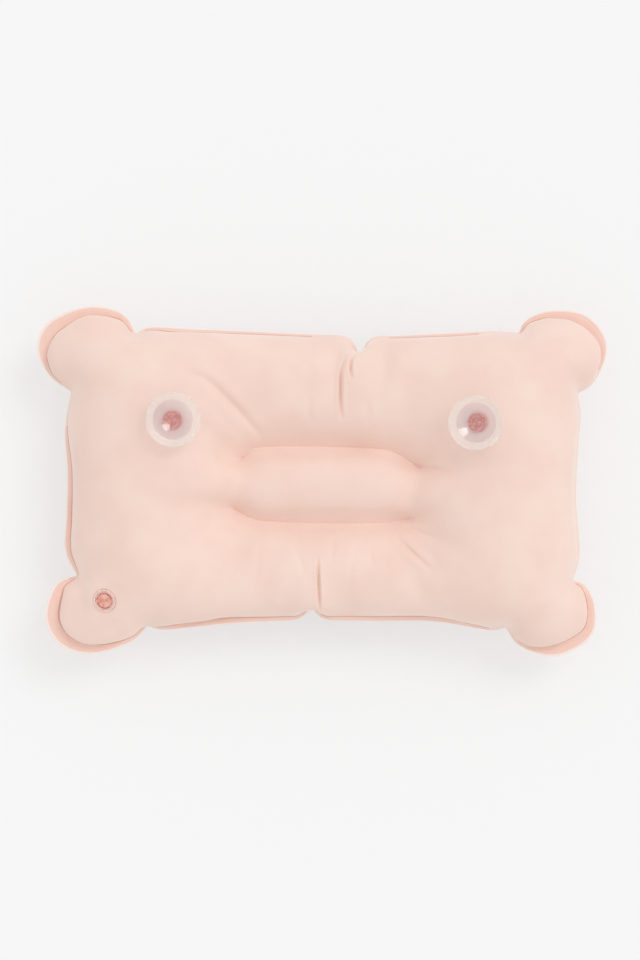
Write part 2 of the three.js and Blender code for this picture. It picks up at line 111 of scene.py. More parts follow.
# Creases of the back sheet: depth and half width in millimetres, and the points that each runs
# through, in millimetres from the middle of the pillow.
CREASES = (
    (2.4, 0.9, ((22.5, 86), (19.5, 80), (19.4, 69))),
    (2.7, 1.0, ((16, 84.5), (13, 76), (12.4, 64), (12.4, 52), (13.2, 42))),
    (2.6, 0.9, ((-2.9, -51), (-2.4, -68), (-1.4, -90))),
    (2.4, 2.6, ((-92, 74), (-77, 67.5), (-61.6, 53), (-48.5, 39), (-41, 30))),
    (1.8, 1.7, ((48, -35), (60, -47.4), (73.5, -59.3))),
    (1.3, 1.7, ((53.6, -30), (65.6, -34.2), (76, -38))),
    (1.6, 1.8, ((64, 9.6), (74, 8), (86, 7))),
    (0.7, 2.2, ((-47, -78), (-44, -60), (-42, -40))),
    (0.7, 2, ((-19, -43), (-15, -52), (-11, -64))),
    (0.6, 1.8, ((7.6, -36), (7, -46), (6.4, -55))),
    (0.6, 2, ((23, -42), (20, -56), (18, -76))),
    (0.6, 1.8, ((32, -44), (33, -50), (33.6, -57))),
    (0.6, 2, ((-8, 39), (-9, 48), (-8, 58))),
    (0.6, 2, ((30, 37), (31, 46), (30, 55))),
)

# The sheets' finishes, as places in their list of materials.
FLOCKED, WELDED, SEAM_BEAD_AND_SHADE, CUT_EDGE_HIGHLIGHT = range(4)

# Across the flange: shares of the way from the seam to the edge, the sheet's height there in
# millimetres, and the finish of the strip that ends there. The weld presses it flat and leaves a
# bead halfway and another at the edge.
FLANGE_SECTION = (
    # The first strip, along the seam, is a darker bead. Part of its darkness is painted shade where the
    # skin meets the flange.
    (0, 0.4, FLOCKED), (0.12, 0.3, SEAM_BEAD_AND_SHADE), (0.48, 0.3, WELDED), (0.56, 0.52, WELDED),
    # The two last strips, at the cut edge, are painted nearly white: a painted highlight where the thin
    # edge catches the light.
    (0.64, 0.3, WELDED), (0.86, 0.32, WELDED), (0.94, 0.46, CUT_EDGE_HIGHLIGHT), (1, 0.3, CUT_EDGE_HIGHLIGHT),
)

# The photograph's height, and how far its middle lies from the pillow's, in pixels.
PHOTO_HEIGHT = 960
PHOTO_MIDDLE = (-2, 1.5)

# Where the key light shines from: high up, and beyond the picture's upper right corner.
KEY_PLACE = (0.75, 0.7, 1.25)

# The valve's radii in millimetres that its CAD nodes don't give: the ring's bore and wall, and the
# stem's tube and rim. The last is how far the ring stands above the skin.
RING_BORE, RING_WALL = 6.6, 7.8
STEM_TUBE, STEM_RIM = 5, 5.6
RING_PROUD = 0.8


def linear(hex_colour):
    """An sRGB colour such as #F3D6CA as linear red, green and blue."""
    parts = [int(hex_colour[k:k + 2], 16) / 255 for k in (1, 3, 5)]
    return tuple(p / 12.92 if p <= 0.04045 else ((p + 0.055) / 1.055) ** 2.4 for p in parts)


def length_property(name, description, millimetres):
    return FloatProperty(
        name=name, description=description, default=millimetres * MM, min=0, precision=4, unit="LENGTH"
    )


def colour_property(name, description, hex_colour):
    return FloatVectorProperty(
        name=name, description=description, default=linear(hex_colour), size=3, min=0, max=1,
        subtype="COLOR",
    )


class PillowSettings(PropertyGroup):
    """Sizes and colours of the two sheets"""

    length: length_property("Length", "Over the flange, from ear to ear", 388)
    width: length_property("Width", "Over the flange, across the ears", 238)
    crown: length_property("Crown", "Height of the skin above its seam at its highest", 40)
    side_flange: length_property("Side flange", "Width of the welded flange along the sides", 3.8)
    sheet: length_property("Sheet", "Thickness of the flocked sheet", 0.35)
    island_length: length_property("Island length", "Length of the welded island", 120)
    island_width: length_property("Island width", "Distance between the two weld lines", 52)
    island_x: FloatProperty(
        name="Island place, X", description="Middle of the island along the pillow",
        default=6 * MM, unit="LENGTH",
    )
    island_y: FloatProperty(
        name="Island place, Y", description="Middle of the island across the pillow",
        default=-2 * MM, unit="LENGTH",
    )
    end_slack: length_property("End slack", "How far each end draws in when the pillow is blown up", 22)
    side_slack: length_property("Side slack", "How far each long side draws in", 22)
    ear_slack_x: length_property("Ear slack, X", "How far an ear draws in along the pillow", 13)
    ear_slack_y: length_property("Ear slack, Y", "How far an ear draws in across the pillow", 9)
    island_slack: length_property("Island slack", "How far each weld line draws in", 7)
    ear_growth: FloatProperty(
        name="Ear growth", description="Size of a flat ear beside a blown-up one",
        default=1.38, min=1, subtype="FACTOR",
    )
    middle_notch: length_property("Middle notch", "Extra depth of the notches of the long sides", 7)
    ear_notch: length_property("Ear notch", "Extra depth of the notches beside the ears", 0.5)
    cell: length_property("Cell", "Spacing of the sheet's points", 4)
    pressure: FloatProperty(
        name="Pressure", description="Push of the air: a firmer pillow stretches and folds less",
        default=6, min=0.1,
    )
    steps: IntProperty(name="Steps", description="Steps of the blowing up", default=900, min=100)
    letting_out: IntProperty(
        name="Letting out", description="Rounds in which fine wrinkles are let out", default=30,
        min=0,
    )
    flocking: colour_property("Flocking", "Colour of the flocked side of the sheets", "#F4D9CD")
    flocking_shade: colour_property("Brushed flocking", "Colour where the nap lies away", "#EFCFC2")
    # The bead colour is used only on the strip along the seam. It is darker partly as painted shade where
    # the skin meets the flange.
    seam_bead_and_shade: colour_property("Weld bead", "Colour of the beads along the seam and the welds", "#D69A84")
    weld: colour_property("Weld", "Colour of the sheet where it is welded", "#F3CBBC")
    # The cut edge's near-white is a painted highlight, the light that the flange's thin edge catches.
    cut_edge_highlight: colour_property("Cut edge", "Colour of the flange's cut edge", "#FBEFE8")


class FittingSettings(PropertyGroup):
    """Sizes and colours of the moulded fittings"""

    cup_disc: length_property("Cup disc", "Radius of the suction cup's thicker middle", 13.8)
    cup_wall: length_property("Cup wall", "Thickness of the suction cup's lip", 0.9)
    neck: length_property("Neck", "Radius of the suction cup's neck", 3)
    lip_hole: length_property("Lip hole", "Radius of the hole in the collar's lip", 3.1)
    stem_bore: length_property("Stem bore", "Radius of the bore that air is blown through", 3.3)
    edge: length_property("Edge", "Rounding of moulded edges", 0.25)
    sides: IntProperty(name="Sides", description="Facets round a turned piece", default=96, min=24)
    clear: colour_property("Clear vinyl", "Colour of the suction cups", "#E6EAF8")
    # The lips' near-white is a painted highlight: the pale ring that a thin lip shows where it catches
    # the light.
    lip: colour_property("Lip", "Colour of the suction cups' lips", "#FFFBF5")
    collar: colour_property("Collar", "Colour of the suction cups' collars", "#E2694A")
    valve: colour_property("Valve", "Colour of the inflation valve", "#E4917C")
    valve_ring: colour_property("Valve ring", "Colour of the valve's ring", "#ECC6B8")


class StageSettings(PropertyGroup):
    """Floor, light and camera"""

    floor: colour_property("Floor", "Colour of the floor", "#F6F6F6")
    floor_size: length_property("Floor size", "Length of each side of the floor", 6000)
    floor_glow: FloatProperty(
        name="Floor glow", description="Share of the floor's colour that shows whatever its shade",
        default=0.55, min=0, max=1, subtype="FACTOR",
    )
    key_strength: FloatProperty(
        name="Key light", description="Strength of the soft light from the upper right",
        default=0.62, min=0,
    )
    key_spread: FloatProperty(
        name="Key spread", description="How wide the key light is, seen from the pillow",
        default=math.radians(26), min=0, max=math.pi, subtype="ANGLE",
    )
    fill_strength: FloatProperty(
        name="Fill", description="Strength of the even light from all sides", default=0.86, min=0,
    )
    camera_height: length_property("Camera height", "Height of the camera above the floor", 2200)
    pixel: length_property("Pixel", "Size of one pixel at the height of the flange", 0.68)


class BathPillowSettings(PropertyGroup):
    """All settings of the bath pillow"""

    pillow: PointerProperty(type=PillowSettings)
    fittings: PointerProperty(type=FittingSettings)
    stage: PointerProperty(type=StageSettings)


# Meshes and placing


def make_piece(name, points, faces, body, materials, nodes=(), place=None):
    """A smooth mesh piece, in metres, that rides on a body and stands for CAD nodes."""
    mesh = bpy.data.meshes.new(name)
    mesh.from_pydata([tuple(p) for p in points], [], [tuple(int(i) for i in f) for f in faces])
    mesh.update()
    mesh.shade_smooth()
    for material in materials:
        mesh.materials.append(material)
    piece = bpy.data.objects.new(name, mesh)
    bpy.context.scene.collection.objects.link(piece)
    if place is not None:
        piece.matrix_world = place
    if body:
        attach(piece, body)
    if nodes:
        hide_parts(*nodes)
    return piece


def joint_named(name):
    return next(joint for joint in frame["joints"] if joint["name"] == name)


def seat_matrix(place, axis):
    """The frame of a fitting: its origin on the sheet and +Z along its axis."""
    turn = Vector((0, 0, 1)).rotation_difference(Vector(axis))
    return Matrix.LocRotScale(Vector(place), turn, None)


def node_points(node, seat):
    """A CAD node's points in a seat's frame, in metres."""
    inverse = seat.inverted()
    return np.array([inverse @ v.co for v in frame["nodes"][node].data.vertices])


def node_span(node, seat):
    """Lowest and highest height of a turned CAD node in its seat, and its radius, in millimetres."""
    points = node_points(node, seat) / MM
    radius = np.hypot(points[:, 0], points[:, 1]).max()
    return points[:, 2].min(), points[:, 2].max(), radius


def cup_seat(side):
    joint = joint_named("cup_" + side + "_swivel")
    return seat_matrix(joint["pos_m"], joint["axis"])


def valve_seat():
    """The valve's axis passes through the middle of its ring, and its origin is on the sheet."""
    axis = Vector(joint_named("stem_slide")["axis"])
    points = {tuple(round(c, 6) for c in v.co) for v in frame["nodes"]["valve_base"].data.vertices}
    middle = sum((Vector(p) for p in points), Vector()) / len(points)
    top = max(Vector(p).dot(axis) for p in points)
    return seat_matrix(middle + axis * (top - RING_PROUD * MM - middle.dot(axis)), axis)


def rounded(profile, radius, closed=False):
    """A turned piece's profile with its corners rounded, apart from those on the axis."""
    points = [np.array(p, float) for p in profile]
    count = len(points)
    longest_share = 0.4
    made = []
    for i, point in enumerate(points):
        ends = not closed and i in (0, count - 1)
        if ends or point[0] == 0:
            made.append(point)
            continue
        arms = []
        for other in (points[i - 1], points[(i + 1) % count]):
            arm = other - point
            reach = np.linalg.norm(arm)
            arms.append(arm / reach * min(radius, longest_share * reach))
        for t in (0, 0.25, 0.5, 0.75, 1):
            made.append(point + arms[0] * (1 - t) ** 2 + arms[1] * t ** 2)
    return made


def turned(profile, sides, closed=False):
    """Points and faces of a profile of (radius, height) turned about +Z, in the profile's units."""
    points, rings = [], []
    for radius, height in profile:
        if radius == 0:
            rings.append([len(points)] * sides)
            points.append((0, 0, height))
            continue
        rings.append(list(range(len(points), len(points) + sides)))
        for k in range(sides):
            angle = 2 * math.pi * k / sides
            points.append((radius * math.cos(angle), radius * math.sin(angle), height))
    faces = []
    for low, high in zip(rings, rings[1:] + (rings[:1] if closed else [])):
        for k in range(sides):
            n = (k + 1) % sides
            corners = [low[k], low[n], high[n], high[k]]
            face = [c for j, c in enumerate(corners) if c != corners[j - 1]]
            if len(face) > 2:
                faces.append(face)
    return np.array(points), faces


def turned_piece(name, seat, parts, settings, body):
    """A moulded piece turned about its seat's axis, which stands for the CAD node of its name.

    Each of its parts is a profile and a material. A profile that starts off the axis is closed.
    """
    points, faces, slots = [], [], []
    for k, (profile, _) in enumerate(parts):
        closed = profile[0][0] > 0
        smooth = rounded(profile, settings.edge / MM, closed)
        part_points, part_faces = turned(smooth, settings.sides, closed)
        start = sum(len(p) for p in points)
        points.append(part_points)
        faces += [[start + c for c in face] for face in part_faces]
        slots += [k] * len(part_faces)
    materials = [material for _, material in parts]
    piece = make_piece(
        name + "_moulding", np.vstack(points) * MM, faces, body, materials, [name], seat
    )
    piece.data.polygons.foreach_set("material_index", slots)
    return piece


# Blowing up the sheets, in millimetres


def ease(x):
    """Rises smoothly from 0 to 1 as x does, and stays there outside."""
    x = np.clip(x, 0, 1)
    return x * x * (3 - 2 * x)


def smooth_curve(points, steps=16):
    """A smooth curve through points, with this many steps between them."""
    padded = np.vstack([2 * points[0] - points[1], points, 2 * points[-1] - points[-2]])
    share = np.linspace(0, 1, steps, endpoint=False)[:, None]
    pieces = []
    for before, start, end, after in zip(padded, padded[1:], padded[2:], padded[3:]):
        cubic = (3 * start - 3 * end + after - before) * share ** 3
        square = (2 * before - 5 * start + 4 * end - after) * share ** 2
        pieces.append((2 * start + (end - before) * share + square + cubic) / 2)
    return np.vstack([*pieces, points[-1:]])


def run_lengths(curve):
    return np.concatenate([[0], np.cumsum(np.linalg.norm(np.diff(curve, axis=0), axis=1))])


def evenly(curve, count):
    """A curve as count equal steps, whatever its columns hold; the first two are its place."""
    along = run_lengths(curve[:, :2])
    places = np.linspace(0, along[-1], count + 1)
    return np.stack([np.interp(places, along, column) for column in curve.T], axis=1)


def end_weights(curve, reach):
    """Weights that are 1 at a run's start, or end, and fall to 0 within reach of it."""
    along = run_lengths(curve)
    return [np.clip(1 - way / reach, 0, 1)[:, None] for way in (along, along[-1] - along)]


def edge_runs(half):
    """The flange's outer edge as smooth runs, about the middle of the whole."""
    starts = [shares[0] for _, _, shares in OUTLINE_RUNS]
    edges = []
    for (_, _, shares), end in zip(OUTLINE_RUNS, starts[1:] + starts[:1]):
        edges.append(smooth_curve(np.array([*shares, end]) * half))
    corners = np.vstack(edges)
    return [edge - (corners.min(0) + corners.max(0)) / 2 for edge in edges]


def seam_runs(edges, flange):
    """The seam beside each run of the edge, and how far the flange drops there."""
    narrowest, meeting_reach = 0.4, 10
    seams, drops = [], []
    for edge, (_, reaches, _) in zip(edges, OUTLINE_RUNS):
        tangent = np.gradient(edge, axis=0)
        tangent /= np.linalg.norm(tangent, axis=1)[:, None]
        inward = np.stack([-tangent[:, 1], tangent[:, 0]], axis=1)
        share = run_lengths(edge) / run_lengths(edge)[-1]
        steps = smooth_curve(np.column_stack([np.linspace(0, 1, len(reaches)), reaches]))
        reach = np.maximum(np.interp(share, *steps.T), narrowest)
        width = np.maximum(flange, reach)
        seams.append(edge + inward * reach[:, None])
        drops.append(np.sqrt(width ** 2 - reach ** 2))
    for i in range(len(seams)):
        j = (i + 1) % len(seams)
        meet = (seams[i][-1] + seams[j][0]) / 2
        for k, end, place in ((j, 0, 0), (i, 1, -1)):
            weight = end_weights(seams[k], meeting_reach)[end] ** 2
            seams[k] = seams[k] + weight * (meet - seams[k][place])
    return seams, drops


def flat_moves(settings, seams, half):
    """How far each run of the seam lies out from its place when the pillow is let down.

    Each ear swells about its middle, and the sides move out.
    """
    slack = np.array([settings.ear_slack_x, settings.ear_slack_y]) / MM
    moves = []
    for (kind, _, _), seam in zip(OUTLINE_RUNS, seams):
        middle = seam.mean(0)
        if kind == "ear":
            moves.append((seam - middle) * (settings.ear_growth - 1) + np.sign(middle) * slack)
        elif abs(middle[1]) / half[1] > abs(middle[0]) / half[0]:
            out = np.full(len(seam), np.sign(middle[1]) * settings.side_slack / MM)
            moves.append(np.stack([seam[:, 0] / half[0] * slack[0], out], axis=1))
        else:
            out = np.full(len(seam), np.sign(middle[0]) * settings.end_slack / MM)
            moves.append(np.stack([out, seam[:, 1] / half[1] * slack[1]], axis=1))
    return moves


def pillow_pattern(settings):
    """The seam before and after blowing up, and the flange's edge and drop, as runs of points."""
    half = np.array([settings.length, settings.width]) / 2 / MM
    edges = edge_runs(half)
    seams, drops = seam_runs(edges, settings.side_flange / MM)
    moves = flat_moves(settings, seams, half)
    kinds = [kind for kind, _, _ in OUTLINE_RUNS]

    # Two runs meet in each notch, where they share one move and fold in. A middle notch lies
    # further out while it is flat. Reaches are in millimetres along the seam.
    middle_notch_out, tangent_points = 10, 12
    middle_reach, ear_reach, side_reach, fold_reach = 22, 14, 40, 12
    joined = [move.copy() for move in moves]
    deep_seams = [seam.copy() for seam in seams]
    deep_edges = [edge.copy() for edge in edges]
    for i in range(len(seams)):
        j = (i + 1) % len(seams)
        middle_notch = kinds[i] == kinds[j]
        meet = (moves[i][-1] + moves[j][0]) / 2
        if middle_notch:
            meet = meet + np.array([0, middle_notch_out * np.sign(seams[j][0][1])])
        tangent = seams[j][tangent_points] - seams[i][-tangent_points]
        inward = np.array([-tangent[1], tangent[0]]) / np.linalg.norm(tangent)
        depth = (settings.middle_notch if middle_notch else settings.ear_notch) / MM
        for k, end in ((j, 0), (i, 1)):
            reach = ear_reach if kinds[k] == "ear" else side_reach
            weight = ease(end_weights(seams[k], middle_reach if middle_notch else reach)[end])
            joined[k] = joined[k] * (1 - weight) + meet * weight
            fold = end_weights(seams[k], fold_reach)[end] ** 1.5 * depth * inward
            deep_seams[k] += fold
            deep_edges[k] += fold
    flats = [seam + move for seam, move in zip(seams, joined)]
    return flats, deep_seams, deep_edges, drops


def sheet_pattern(settings, cell):
    """Flat and blown-up places of the seam and the weld lines, and the flange's edge and drop."""
    flats, seams, edges, drops = pillow_pattern(settings)
    counts = [max(3, round(run_lengths(flat)[-1] / cell)) for flat in flats]
    flat, seam, edge, drop = (
        np.vstack([evenly(run, n)[:-1] for run, n in zip(runs, counts)])
        for runs in (
            flats,
            seams,
            [np.hstack([seam, edge]) for seam, edge in zip(seams, edges)],
            [np.hstack([seam, drop[:, None]]) for seam, drop in zip(seams, drops)],
        )
    )
    softening_rounds = 6
    for _ in range(softening_rounds):
        flat = (np.roll(flat, 1, 0) + 2 * flat + np.roll(flat, -1, 0)) / 4
    island = np.array([settings.island_length, settings.island_width]) / 2 / MM
    place = np.array([settings.island_x, settings.island_y]) / MM
    welds = []
    for shares in WELD_LINE_SHARES:
        line = smooth_curve(np.array(shares) * island + place)
        welds.append(evenly(line, round(run_lengths(line)[-1] / cell)))
    draw = np.array([0, settings.island_slack / MM])
    flat_welds = [line + draw * np.sign(line[0, 1] - place[1]) for line in welds]
    return {
        "flat": [flat, *flat_welds], "blown": [seam, *welds],
        "edge": edge[:, 2:], "drop": drop[:, 2],
    }


def inside(outline, points):
    """True for each point inside a closed outline."""
    x, y = points.T
    found = np.zeros(len(points), bool)
    for (x0, y0), (x1, y1) in zip(outline, np.roll(outline, -1, 0)):
        if y0 == y1:
            continue
        crossing = (x1 - x0) * (y - y0) / (y1 - y0) + x0
        found ^= ((y0 > y) != (y1 > y)) & (x < crossing)
    return found


def way_to_nearest(points, held):
    """How far each point lies from the nearest of the held ones."""
    return np.array([np.hypot(*(held - point).T).min() for point in points])


def sheet_mesh(lines, cell):
    """Triangles of the flat sheet between its seam and its weld lines."""
    seam = lines[0]
    held = np.vstack(lines)
    row = cell * math.sqrt(3) / 2
    clearance, merging_way = 0.62 * cell, 1e-5
    low, high = seam.min(0), seam.max(0)
    rows = []
    for k, y in enumerate(np.arange(low[1], high[1], row)):
        x = np.arange(low[0] + (cell / 2 if k % 2 else 0), high[0], cell)
        rows.append(np.stack([x, np.full_like(x, y)], axis=1))
    free = np.vstack(rows)
    free = free[inside(seam, free)]
    points = np.vstack([held, free[way_to_nearest(free, held) > clearance]])
    edges = [(i, (i + 1) % len(seam)) for i in range(len(seam))]
    start = len(seam)
    for line in lines[1:]:
        edges += [(start + i, start + i + 1) for i in range(len(line) - 1)]
        start += len(line)
    _, _, faces, origins, _, _ = delaunay_2d_cdt(
        [Vector(p) for p in points], edges, [], 1, merging_way
    )
    source = np.array([origin[0] for origin in origins])
    triangles = source[np.array([list(face) for face in faces])]
    a, b, c = (points[triangles[:, k]] for k in range(3))
    area = (b - a)[:, 0] * (c - a)[:, 1] - (b - a)[:, 1] * (c - a)[:, 0]
    triangles[area < 0] = triangles[area < 0][:, ::-1]
    return points, triangles, len(held)


def constraint_groups(pairs, lengths, give):
    """Pairs of points sorted into groups in which no point comes twice."""
    taken = [0] * (int(pairs.max()) + 1)
    group = np.zeros(len(pairs), int)
    for k, (i, j) in enumerate(pairs):
        both = taken[i] | taken[j]
        while (both >> int(group[k])) & 1:
            group[k] += 1
        taken[i] |= 1 << int(group[k])
        taken[j] |= 1 << int(group[k])
    return [(pairs[group == g], lengths[group == g], give) for g in range(group.max() + 1)]


def sheet_constraints(points, triangles, bend_give):
    """Lengths that the sheet keeps: its edges firmly, and the way across each edge softly."""
    across = {}
    for a, b, c in triangles:
        for i, j, other in ((a, b, c), (b, c, a), (c, a, b)):
            across.setdefault((min(i, j), max(i, j)), []).append(other)
    edges = np.array(list(across))
    bends = np.array([pair for pair in across.values() if len(pair) == 2])
    groups = []
    for pairs, give in ((edges, 0), (bends, bend_give)):
        lengths = np.linalg.norm(points[pairs[:, 0]] - points[pairs[:, 1]], axis=1)
        groups += constraint_groups(pairs, lengths, give)
    return groups


def blow_up(pattern, cell, steps, pressure):
    """The back sheet blown up: half of a pillow that is the same above and below its seam.

    The seam and the welds move from their flat places to where they are drawn in, while air
    pushes on every triangle and every length of sheet is kept. Vinyl doesn't stretch, so it folds.
    """
    points, triangles, held = sheet_mesh(pattern["flat"], cell)
    groups = sheet_constraints(points, triangles, bend_give=0.5)
    place = np.column_stack([points, np.zeros(len(points))])
    start = place[:held].copy()
    stop = start.copy()
    stop[:, :2] = np.vstack(pattern["blown"])

    # The sheet starts as a low hill, uneven by some hundredths of a millimetre, so that it folds.
    hill_reach, hill_slope, unevenness = 20, 0.25, 0.02
    gap = way_to_nearest(points, points[:held])
    noise = np.random.default_rng(1).normal(0, unevenness, len(points))
    place[:, 2] = np.minimum(gap, hill_reach) * hill_slope + noise * (gap > 0)

    # The seam is drawn in during the first third of the steps. A face's normal is as long as
    # the face is large beside a flat one.
    draw_in_share, push_per_pressure, drag = 0.35, 0.02 / 6, 0.02
    draw_in = int(draw_in_share * steps)
    half_root_three, least = 0.866, 1e-9
    face_size = cell * cell * half_root_three
    free = np.ones(len(points))
    free[:held] = 0
    speed = np.zeros_like(place)
    for step in range(steps):
        place[:held] = start + (stop - start) * ease((step + 1) / draw_in)
        a, b, c = (place[triangles[:, k]] for k in range(3))
        normal = np.cross(b - a, c - a) / face_size
        push = np.zeros_like(place)
        for k in range(3):
            for axis in range(3):
                push[:, axis] += np.bincount(triangles[:, k], normal[:, axis], len(place))
        push *= push_per_pressure * pressure
        speed = (speed * (1 - drag) + push) * free[:, None]
        moved = place + speed
        for pairs, lengths, give in groups:
            i, j = pairs.T
            way = moved[i] - moved[j]
            far = np.sqrt((way * way).sum(1)) + least
            pull = ((far - lengths) / (free[i] + free[j] + give + least) / far)[:, None] * way
            moved[i] -= free[i][:, None] * pull
            moved[j] += free[j][:, None] * pull
        moved[:, 2] = np.maximum(moved[:, 2], 0)
        speed = moved - place
        place = moved
    return place, triangles, held


def seat_sheet(points, seat):
    """Brings the sheet to a fitting's seat: level with it up to a radius, and eased in around it."""
    radius, border, reach = 11, 6.6, 45
    origin = np.array(seat.translation) / MM
    axis = np.array(seat.to_3x3().col[2])
    way = points - origin
    height = way @ axis
    side = np.linalg.norm(way - height[:, None] * axis, axis=1)
    near = (side < radius) & (np.abs(height) < reach)
    lift = ease(1 - side / reach) * (np.abs(height) < reach)
    moved = points - (lift * height[near].mean())[:, None] * axis
    height = (moved - origin) @ axis
    level = ease((radius + border - side) / border) * (np.abs(height) < reach)
    return moved - (level * height)[:, None] * axis


def let_out(points, triangles, held, rounds):
    """The skin with its fine wrinkles let out, at hardly any loss of its height."""
    smoothing, swelling = 0.5, -0.52
    i, j = np.vstack([triangles[:, [0, 1]], triangles[:, [1, 2]], triangles[:, [2, 0]]]).T
    around = np.bincount(i, minlength=len(points)) + np.bincount(j, minlength=len(points))
    for _ in range(rounds):
        for share in (smoothing, swelling):
            total = np.zeros_like(points)
            for axis in range(3):
                total[:, axis] = np.bincount(i, points[j, axis], len(points))
                total[:, axis] += np.bincount(j, points[i, axis], len(points))
            move = share * (total / around[:, None] - points)
            move[:held] = 0
            points = points + move
    return points


def way_to_crease(points, places):
    """How far the points lie from a crease, and how far along it, as a share, they are nearest.

    Points beyond a margin round the crease count as infinitely far.
    """
    steps, margin = 6, 20
    line = smooth_curve(np.array(places, float), steps)
    lengths = run_lengths(line)
    near = np.full(len(points), np.inf)
    along = np.zeros(len(points))
    flat = points[:, :2]
    close = ((flat > line.min(0) - margin) & (flat < line.max(0) + margin)).all(1)
    nearest, share = near[close], along[close]
    for start, step, before, reach in zip(line, np.diff(line, axis=0), lengths, np.diff(lengths)):
        way = flat[close] - start
        part = np.clip(way @ step / reach ** 2, 0, 1)
        far = np.hypot(*(way - part[:, None] * step).T)
        closer = far < nearest
        nearest[closer] = far[closer]
        share[closer] = (before + part[closer] * reach) / lengths[-1]
    near[close], along[close] = nearest, share
    return near, along


def mesh_values(items, name, columns, kind=float):
    """A mesh's vertices, edges or faces as rows of numbers."""
    values = np.zeros(len(items) * columns, kind)
    items.foreach_get(name, values)
    return values.reshape(-1, columns)


def refine(mesh, creases, reach):
    """Splits the faces near the creases, so that a crease narrower than a face still shows.

    It works up to reach times their half width away from them.
    """
    places = mesh_values(mesh.vertices, "co", 3) / MM
    middles = places[mesh_values(mesh.edges, "vertices", 2, np.int32)].mean(1)
    near = np.full(len(middles), False)
    for _, width, line in creases:
        near |= way_to_crease(middles, line)[0] < reach * width
    cuts = bmesh.new()
    cuts.from_mesh(mesh)
    cuts.edges.ensure_lookup_table()
    chosen = [cuts.edges[k] for k in np.flatnonzero(near)]
    bmesh.ops.subdivide_edges(cuts, edges=chosen, cuts=1, use_grid_fill=True)
    cuts.to_mesh(mesh)
    cuts.free()


def carve(points, creases):
    """Heights to take from the points for creases: a narrow valley between two soft banks."""
    bank_place, bank_width, bank_height = 2.4, 1.3, 0.25
    blunt_share, fade_power = 0.02, 0.7
    cut = np.zeros(len(points))
    for depth, width, places in creases:
        near, along = way_to_crease(points, places)
        fade = np.sin(math.pi * np.clip(along, blunt_share, 1 - blunt_share)) ** fade_power
        valley = np.exp(-((near / width) ** 2))
        banks = np.exp(-(((near - bank_place * width) / (bank_width * width)) ** 2))
        cut += depth * fade * (valley - bank_height * banks)
    return cut


def add_flange(points, triangles, pattern, side):
    """The sheet with its flange: rows of points outside the seam, pressed flat and beaded.

    The front sheet, whose side is -1, is mirrored later, so its flange drops the other way here.
    """
    seam = pattern["blown"][0]
    out = pattern["edge"] - seam
    reach = np.linalg.norm(out, axis=1)
    drop = side * pattern["drop"]
    width = np.hypot(reach, drop)
    out = out / reach[:, None]
    normal = np.column_stack([out * (drop / width)[:, None], reach / width])
    count = len(seam)
    rows, faces = [np.arange(count)], []
    places = [points]
    for share, height, _ in FLANGE_SECTION[1:]:
        flat = seam + out * (reach * share)[:, None]
        places.append(np.column_stack([flat, -drop * share]) + normal * height)
        rows.append(np.arange(count) + sum(len(p) for p in places[:-1]))
    for inner, outer in zip(rows, rows[1:]):
        for i in range(count):
            j = (i + 1) % count
            faces.append((inner[i], outer[i], outer[j], inner[j]))
    return np.vstack(places), [tuple(t) for t in triangles], faces


def press_flat(height, softness=0.6):
    """Heights above the floor, with those near and below it pressed flat on it."""
    pressed = softness * np.exp((np.minimum(height, softness) - softness) / softness)
    return np.where(height > softness, height, pressed)


# Materials


# A Mix node that mixes colours names its sockets more than once, so they go by number: its share,
# its two colours and, among its outputs, its result.
MIX_SHARE, MIX_FIRST, MIX_SECOND, MIX_RESULT = 0, 6, 7, 2


def add_node(tree, kind, inputs=None, **settings):
    """Adds a node with its settings; an input is a value, or another node's output to link."""
    node = tree.nodes.new(kind)
    for name, value in settings.items():
        setattr(node, name, value)
    for name, value in (inputs or {}).items():
        if isinstance(value, bpy.types.NodeSocket):
            tree.links.new(value, node.inputs[name])
        else:
            node.inputs[name].default_value = value
    return node


def new_material(name):
    material = bpy.data.materials.new(name)
    material.use_nodes = True
    material.node_tree.nodes.clear()
    return material, material.node_tree


def patterned_material(name, size, detail, strength, depth):
    """A new material, its node tree, a cloudy pattern of this size and the bumps that it raises."""
    material, tree = new_material(name)
    place = add_node(tree, "ShaderNodeTexCoord").outputs["Object"]
    pattern = add_node(
        tree, "ShaderNodeTexNoise", {"Vector": place, "Scale": 1 / size, "Detail": detail}
    ).outputs[0]
    bumps = add_node(
        tree, "ShaderNodeBump", {"Height": pattern, "Strength": strength, "Distance": depth}
    ).outputs[0]
    return material, tree, pattern, bumps


def flocked_vinyl(settings):
    """PVC sheet flocked with short rayon fibre: matte and velvety, paler where it turns away."""
    # Single fibres are 0.5 mm long, too fine to show, so the grain is drawn at 1.1 mm.
    material, tree, _, grain = patterned_material(
        "flocked_pvc_sheet", size=1.1 * MM, detail=2, strength=0.35, depth=0.12 * MM
    )
    # The nap lies this way and that in patches of about 30 mm, as a hand leaves it.
    place = add_node(tree, "ShaderNodeTexCoord").outputs["Object"]
    patches = add_node(
        tree, "ShaderNodeTexNoise", {"Vector": place, "Scale": 1 / (30 * MM), "Detail": 3}
    )
    lay = add_node(
        tree, "ShaderNodeMapRange",
        {"Value": patches.outputs[0], "From Min": 0.35, "From Max": 0.65, "To Max": 0.55},
    )
    colour = add_node(
        tree, "ShaderNodeMix",
        {MIX_SHARE: lay.outputs[0], MIX_FIRST: (*settings.flocking, 1),
         MIX_SECOND: (*settings.flocking_shade, 1)},
        data_type="RGBA",
    )
    shader = add_node(
        tree, "ShaderNodeBsdfPrincipled",
        {"Base Color": colour.outputs[MIX_RESULT], "Roughness": 0.95, "IOR": 1.45,
         "Specular IOR Level": 0.15, "Sheen Weight": 0.9, "Sheen Roughness": 0.4,
         "Sheen Tint": (1, 0.985, 0.97, 1), "Normal": grain},
    )
    add_node(tree, "ShaderNodeOutputMaterial", {"Surface": shader.outputs[0]})
    return material


